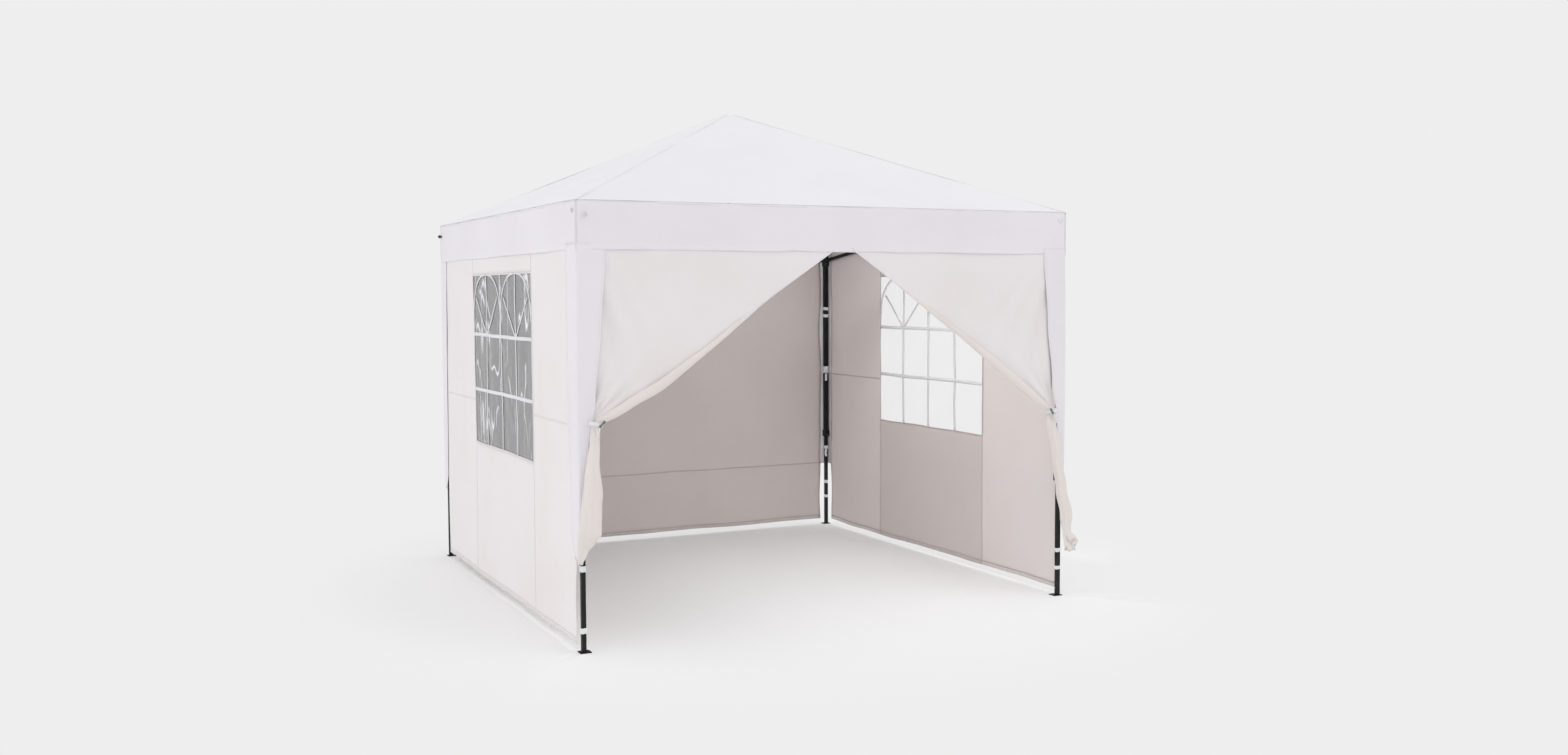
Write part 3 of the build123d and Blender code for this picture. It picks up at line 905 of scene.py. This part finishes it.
COVER_LOW = 0.395
BEND_RADIUS = 0.012
BEND_SHARE = 0.12  # share of each flap that bends round the corner of the leg
# (height, width) of a flap
SLIM_FLAP = [(0.395, 0.004), (0.50, 0.012), (0.65, 0.025), (0.86, 0.046), (1.07, 0.078), (1.36, 0.105),
             (1.70, 0.127)]
FULL_FLAP = [(0.395, 0.050), (0.48, 0.082), (0.86, 0.098), (1.07, 0.104), (1.36, 0.118), (1.70, 0.127)]


def cover_point(k, u, v):
    """u runs from the edge of one flap round the corner of the leg to the edge of the other.

    The two flaps on the canopy's front taper more than the others.
    """
    seed = 210 + 13 * k
    z = mix(VALANCE_LOW + 0.03, COVER_LOW, v)
    first = profile(SLIM_FLAP if k == 0 else FULL_FLAP, z)
    second = profile(SLIM_FLAP if k == 3 else FULL_FLAP, z)
    bow = 0.004 * math.sin(math.pi * v) * (1 if k in (0, 3) else 0.4)
    out = COVER - 0.0010
    reach = 2 * u - 1
    lift = (0.0025 * wave(u * 0.4, z, seed, 0.22) + 0.0035 * wave(u, z, seed + 1, 0.5)) * smooth(v * 6)
    if abs(reach) < BEND_SHARE:
        a = (1 + reach / BEND_SHARE) * math.pi / 4
        x = out - BEND_RADIUS * (1 - math.sin(a))
        y = -out + BEND_RADIUS * (1 - math.cos(a))
    elif reach < 0:
        x = out - BEND_RADIUS - (first - BEND_RADIUS) * -reach
        y = -out + lift * -reach
    else:
        x = out - lift * reach
        y = -(out - BEND_RADIUS - (second - BEND_RADIUS) * reach)
    return Vector((x + bow, y - bow, z))


for k, corner in enumerate(CORNERS):
    verts, faces = grid(56, 70, lambda u, v: cover_point(k, u, v))
    # these normals face inward too
    cover = piece(f"leg_cover_{corner}", turned(verts, k), faces, ROOF_CLOTH, f"leg_{corner}")
    # the outside takes the darker copy of the roof cloth: painted shade on the hanging flaps
    thicken(cover, CLOTH_THICKNESS, VALANCE_PAINTED_SHADE)
    for end, name in ((0.0, "a"), (1.0, "b")):
        path = [cover_point(k, end, i / 50) for i in range(51)]
        width_way = Vector((1, 0, 0)) if end == 0.0 else Vector((0, 1, 0))
        verts, faces = ribbon(path, lambda i: width_way, *COVER_HEM)
        piece(f"leg_cover_edge_{name}_{corner}", turned(verts, k), faces, HEM_CLOTH,
                           f"leg_{corner}")
    if k == 0:
        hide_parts("cover_skirt")


# ---- ties and straps ----

def loop_band(centre, half, height, thickness, seed):
    """Webbing wrapped once round a square tube, with a slightly uneven edge."""
    points = 32
    outer = half + thickness
    outline = []
    for i in range(points):
        a = i / points * 2 * math.pi + 0.2
        c, s = math.cos(a), math.sin(a)
        near_corner = abs(abs(c) - abs(s)) < 0.25
        reach = min(outer / max(abs(c), abs(s)) * (0.985 if near_corner else 1.0), outer * 1.28)
        outline.append(Vector((c * reach, s * reach, 0)))
    # each ring is (level, scale) of the outline: up the outer face and down the inner one
    rings = ((-0.5, 1.0), (-0.46, 1.06), (0.46, 1.06), (0.5, 1.0), (0.46, 0.93), (-0.46, 0.93))
    verts = []
    for level, scale in rings:
        for i, p in enumerate(outline):
            tilt = 0.0015 * math.sin(i / points * 2 * math.pi + seed)
            verts.append(centre + Vector((p.x * scale, p.y * scale, level * height + tilt)))
    return verts, ring_faces(len(rings), points, closed=True)


def loose_tail(start, way, length, width, seed):
    """A strap's free end: it curls away from the leg and hangs."""
    path = []
    for i in range(15):
        t = i / 14
        out = length * 0.34 * math.sin(t * 2.1)
        drop = -length * 0.85 * t ** 1.5
        curl = 0.006 * wave(t, seed, seed, 0.5)
        path.append(start + way * out + Vector((curl, -curl, drop)))
    sideways = way.cross(Vector((0, 0, 1)))

    def across(i):
        return sideways + Vector((0, 0, 0.15 * math.sin(i * 0.5 + seed)))

    return ribbon(path, across, width, STRAP_THICKNESS)


# (height above the ground, width) of each tie round a leg
STRAPS = {
    "back_right": ((1.405, 0.020), (1.360, 0.020), (1.020, 0.022), (0.998, 0.022), (0.500, 0.020),
                   (0.275, 0.020), (0.181, 0.018)),
    "front_right": ((1.380, 0.020), (0.990, 0.022), (0.228, 0.020), (0.139, 0.018)),
    "front_left": ((1.390, 0.020), (0.985, 0.022), (0.358, 0.026), (0.095, 0.024)),
    "back_left": ((1.400, 0.020), (1.005, 0.022), (0.985, 0.020)),
}
# a strap's free end hangs from these heights
TAILS = {"back_right": (0.985, 0.490), "front_right": (0.225,), "front_left": (0.352, 0.090), "back_left": ()}


def on_tube(z, part):
    """Whether a strap at height z is on the upper or the lower leg tube."""
    return (z > SPLIT_Z + 0.05) == (part == "upper")


for k, corner in enumerate(CORNERS):
    for part, half in (("upper", UPPER_HALF), ("lower", LOWER_HALF)):
        body = f"leg_{corner}" if part == "upper" else f"lower_leg_{corner}"
        shapes = []
        for i, (z, height) in enumerate(STRAPS[corner]):
            if on_tube(z, part):
                centre = Vector((LEG, -LEG, z))
                shapes.append(loop_band(centre, half + 0.0006, height, STRAP_THICKNESS, i + k))
        for i, z in enumerate(TAILS[corner]):
            if on_tube(z, part):
                start = Vector((LEG - half - 0.0025, -LEG + 0.004, z))
                way = Vector((-0.8, 0.6, 0)).normalized()
                shapes.append(loose_tail(start, way, 0.055, 0.014, 3 * k + i + 1))
        if not shapes:
            continue
        verts, faces = join_parts(shapes)
        name = f"tie_straps_{part}_{corner}"
        straps = piece(name, turned(verts, k), faces, STRAP_CLOTH, body)
        if part == "lower":
            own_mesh(straps)

TIE_RING = (0.0305, 0.0260)  # radii of the band round a gathered curtain
TIE_SLOPE = {"left": 0.22, "right": 0.10}  # the band is lower on the side of the doorway
# (distance along its axis, radius): a short barrel with rounded ends and a waist
TOGGLE_SHAPE = [(-0.019, 0.0018), (-0.0175, 0.0046), (-0.012, 0.0058), (-0.004, 0.0046), (0, 0.0040),
                (0.004, 0.0046), (0.012, 0.0058), (0.0175, 0.0046), (0.019, 0.0018)]

for side in ("left", "right"):
    sign = SIGN[side]
    tie = Vector((sign * tie_x(side), -WALL - 0.012, TIE_Z[side]))
    ring = []
    for i in range(33):
        a = i / 32 * 2 * math.pi
        across = math.cos(a) * TIE_RING[0]
        ring.append(tie + Vector((across, math.sin(a) * TIE_RING[1], sign * TIE_SLOPE[side] * across)))
    band = ribbon(ring, lambda i: Vector((0.15, 0, 1)), *TIE_BAND)
    trim(f"door_tie_band_{side}", band, STRAP_CLOTH, 0, "side_middle_front")

    # the toggle, pushed through the band's loop
    axis = Vector((-0.62 * sign, -0.20, 0.75)).normalized()
    side_way = axis.cross(Vector((0, 1, 0))).normalized()
    up_way = axis.cross(side_way).normalized()
    middle = tie + Vector((-sign * 0.019, -0.0290, 0.001))
    toggle = lathe(middle, axis, side_way, up_way, TOGGLE_SHAPE, 20)
    trim(f"door_toggle_{side}", toggle, TOGGLE_SMOKE, 0, "side_middle_front")

    # the strap's two ends hang under the toggle
    outer_start = tie + Vector((sign * 0.012, -0.020, -0.006))
    outer_way = Vector((-0.3 * sign, -0.5, 0)).normalized()
    inner_start = tie + Vector((-sign * 0.010, -0.022, -0.006))
    inner_way = Vector((0.2 * sign, -0.6, 0)).normalized()
    ends = join_parts([loose_tail(outer_start, outer_way, 0.060, 0.010, 5),
                       loose_tail(inner_start, inner_way, 0.035, 0.010, 8)])
    trim(f"door_tie_ends_{side}", ends, STRAP_CLOTH, 0, "side_middle_front")


# ---- roof corner details: a webbing loop and its knob under the eave at each corner ----

KNOB_SHAPE = [(-0.006, 0.0030), (-0.001, 0.0048), (0.003, 0.0085), (0.008, 0.0098), (0.013, 0.0078),
              (0.017, 0.0040), (0.0185, 0.0008)]

for k, corner in enumerate(CORNERS):
    knob_at = Vector((COVER + 0.004, -COVER + 0.040, EAVE - 0.060))
    verts, faces = lathe(knob_at, Vector((1, 0, 0)), Vector((0, 1, 0)), Vector((0, 0, 1)), KNOB_SHAPE, 18)
    knob_paint = BUTTON_PLASTIC if corner == "back_left" else TOGGLE_PLASTIC
    piece(f"corner_knob_{corner}", turned(verts, k), faces, knob_paint, f"leg_{corner}")
    loop_path = []
    for i in range(17):
        a = i / 16 * math.pi
        x = COVER - 0.035 + 0.012 * math.cos(a)
        z = EAVE - 0.032 - 0.020 * math.sin(a)
        loop_path.append(Vector((x, -COVER - 0.0022, z)))
    loop_way = Vector((0.9, -0.4, 0.2))
    verts, faces = ribbon(loop_path, lambda i: loop_way, *CORNER_LOOP)
    piece(f"corner_loop_{corner}", turned(verts, k), faces, STRAP_CLOTH, f"leg_{corner}")


# ---- the steel frame keeps its CAD shape and gets its finishes ----

def dress(name, paint):
    obj = nodes[name]
    if not obj.material_slots:
        obj.data.materials.append(paint)
    for slot in obj.material_slots:
        slot.material = paint


for name in nodes:
    if name.startswith(("upper_leg", "lower_leg", "peak_pole")):
        dress(name, LEG_METAL)
    elif "_bar_" in name:
        dress(name, BAR_METAL)
    elif "button" in name:
        dress(name, BUTTON_PLASTIC)
    elif "bracket" in name or "slider" in name or "hub" in name:
        dress(name, JOINT_PLASTIC)


# ---- stage, light and camera ----

BACKDROP = (0.855, 0.855, 0.855)
FLOOR_RINGS = (3.0, 14.0, 60.0)  # radii of the floor's rings of vertices
FLOOR_POINTS = 96
FADE = (1.2, 2.7)  # the floor fades into the backdrop between these distances from the middle

world = bpy.data.worlds.new("studio")
bpy.context.scene.world = world
world.use_nodes = True
world.node_tree.nodes["Background"].inputs["Color"].default_value = (*BACKDROP, 1)
world.node_tree.nodes["Background"].inputs["Strength"].default_value = 1.0


def floor_paper():
    """White paper that takes shadows near the canopy and is the backdrop's own colour further out."""
    paint = Paint("floor_paper", (0.96, 0.96, 0.96), 0.9, Specular_IOR_Level=0.1)
    glow = paint.add("ShaderNodeEmission", Color=(*BACKDROP, 1))
    distance = paint.add("ShaderNodeVectorMath")
    distance.operation = "LENGTH"
    paint.link(paint.coords, distance.inputs[0])
    fade = paint.add("ShaderNodeMapRange", From_Min=FADE[0], From_Max=FADE[1])
    fade.interpolation_type = "SMOOTHSTEP"
    paint.link(distance.outputs["Value"], fade.inputs["Value"])
    blend = paint.add("ShaderNodeMixShader")
    paint.link(fade.outputs["Result"], blend.inputs["Fac"])
    paint.link(paint.bsdf.outputs["BSDF"], blend.inputs[1])
    paint.link(glow.outputs["Emission"], blend.inputs[2])
    paint.link(blend.outputs["Shader"], paint.tree.nodes["Material Output"].inputs["Surface"])
    return paint.mat


angles = [i / FLOOR_POINTS * 2 * math.pi for i in range(FLOOR_POINTS)]
verts = [(math.cos(a) * r, math.sin(a) * r, 0.0) for r in FLOOR_RINGS for a in angles]
faces = [tuple(range(FLOOR_POINTS))] + ring_faces(len(FLOOR_RINGS), FLOOR_POINTS)
mesh = bpy.data.meshes.new("floor")
mesh.from_pydata(verts, [], faces)
mesh.materials.append(floor_paper())
floor = bpy.data.objects.new("floor", mesh)
bpy.context.scene.collection.objects.link(floor)


def softbox(name, place, aim, size, power):
    """A large soft area light."""
    data = bpy.data.lights.new(name, "AREA")
    data.shape = "RECTANGLE"
    data.size, data.size_y = size
    data.energy = power
    light = bpy.data.objects.new(name, data)
    bpy.context.scene.collection.objects.link(light)
    light.location = place
    light.rotation_mode = "QUATERNION"
    light.rotation_quaternion = (Vector(aim) - Vector(place)).to_track_quat("-Z", "Y")
    return light


softbox("key_light", (2.5, -4.5, 8.5), (0, 0, 1.2), (5, 5), 75)
softbox("side_fill", (-8.0, -1.5, 1.6), (0, 0, 1.4), (5, 3), 60)
# light that the roof lets through, seen only by what it falls on
inner = softbox("inner_fill", (0.05, -0.42, 2.10), (0.85, -0.25, 0.0), (0.28, 0.28), 13)
inner.visible_camera = False
inner.visible_glossy = False

# the camera stands to the left in front of the canopy, at about the height of the eyes
camera_data = bpy.data.cameras.new("camera")
camera = bpy.data.objects.new("camera", camera_data)
bpy.context.scene.collection.objects.link(camera)
camera.location = (-3.0214, -6.7911, 1.5076)
camera.rotation_euler = [math.radians(a) for a in (86.530, 0.240, -26.215)]
camera_data.sensor_width = 36.0
camera_data.lens = 31.996
bpy.context.scene.camera = camera
bpy.context.scene.view_settings.view_transform = "Standard"
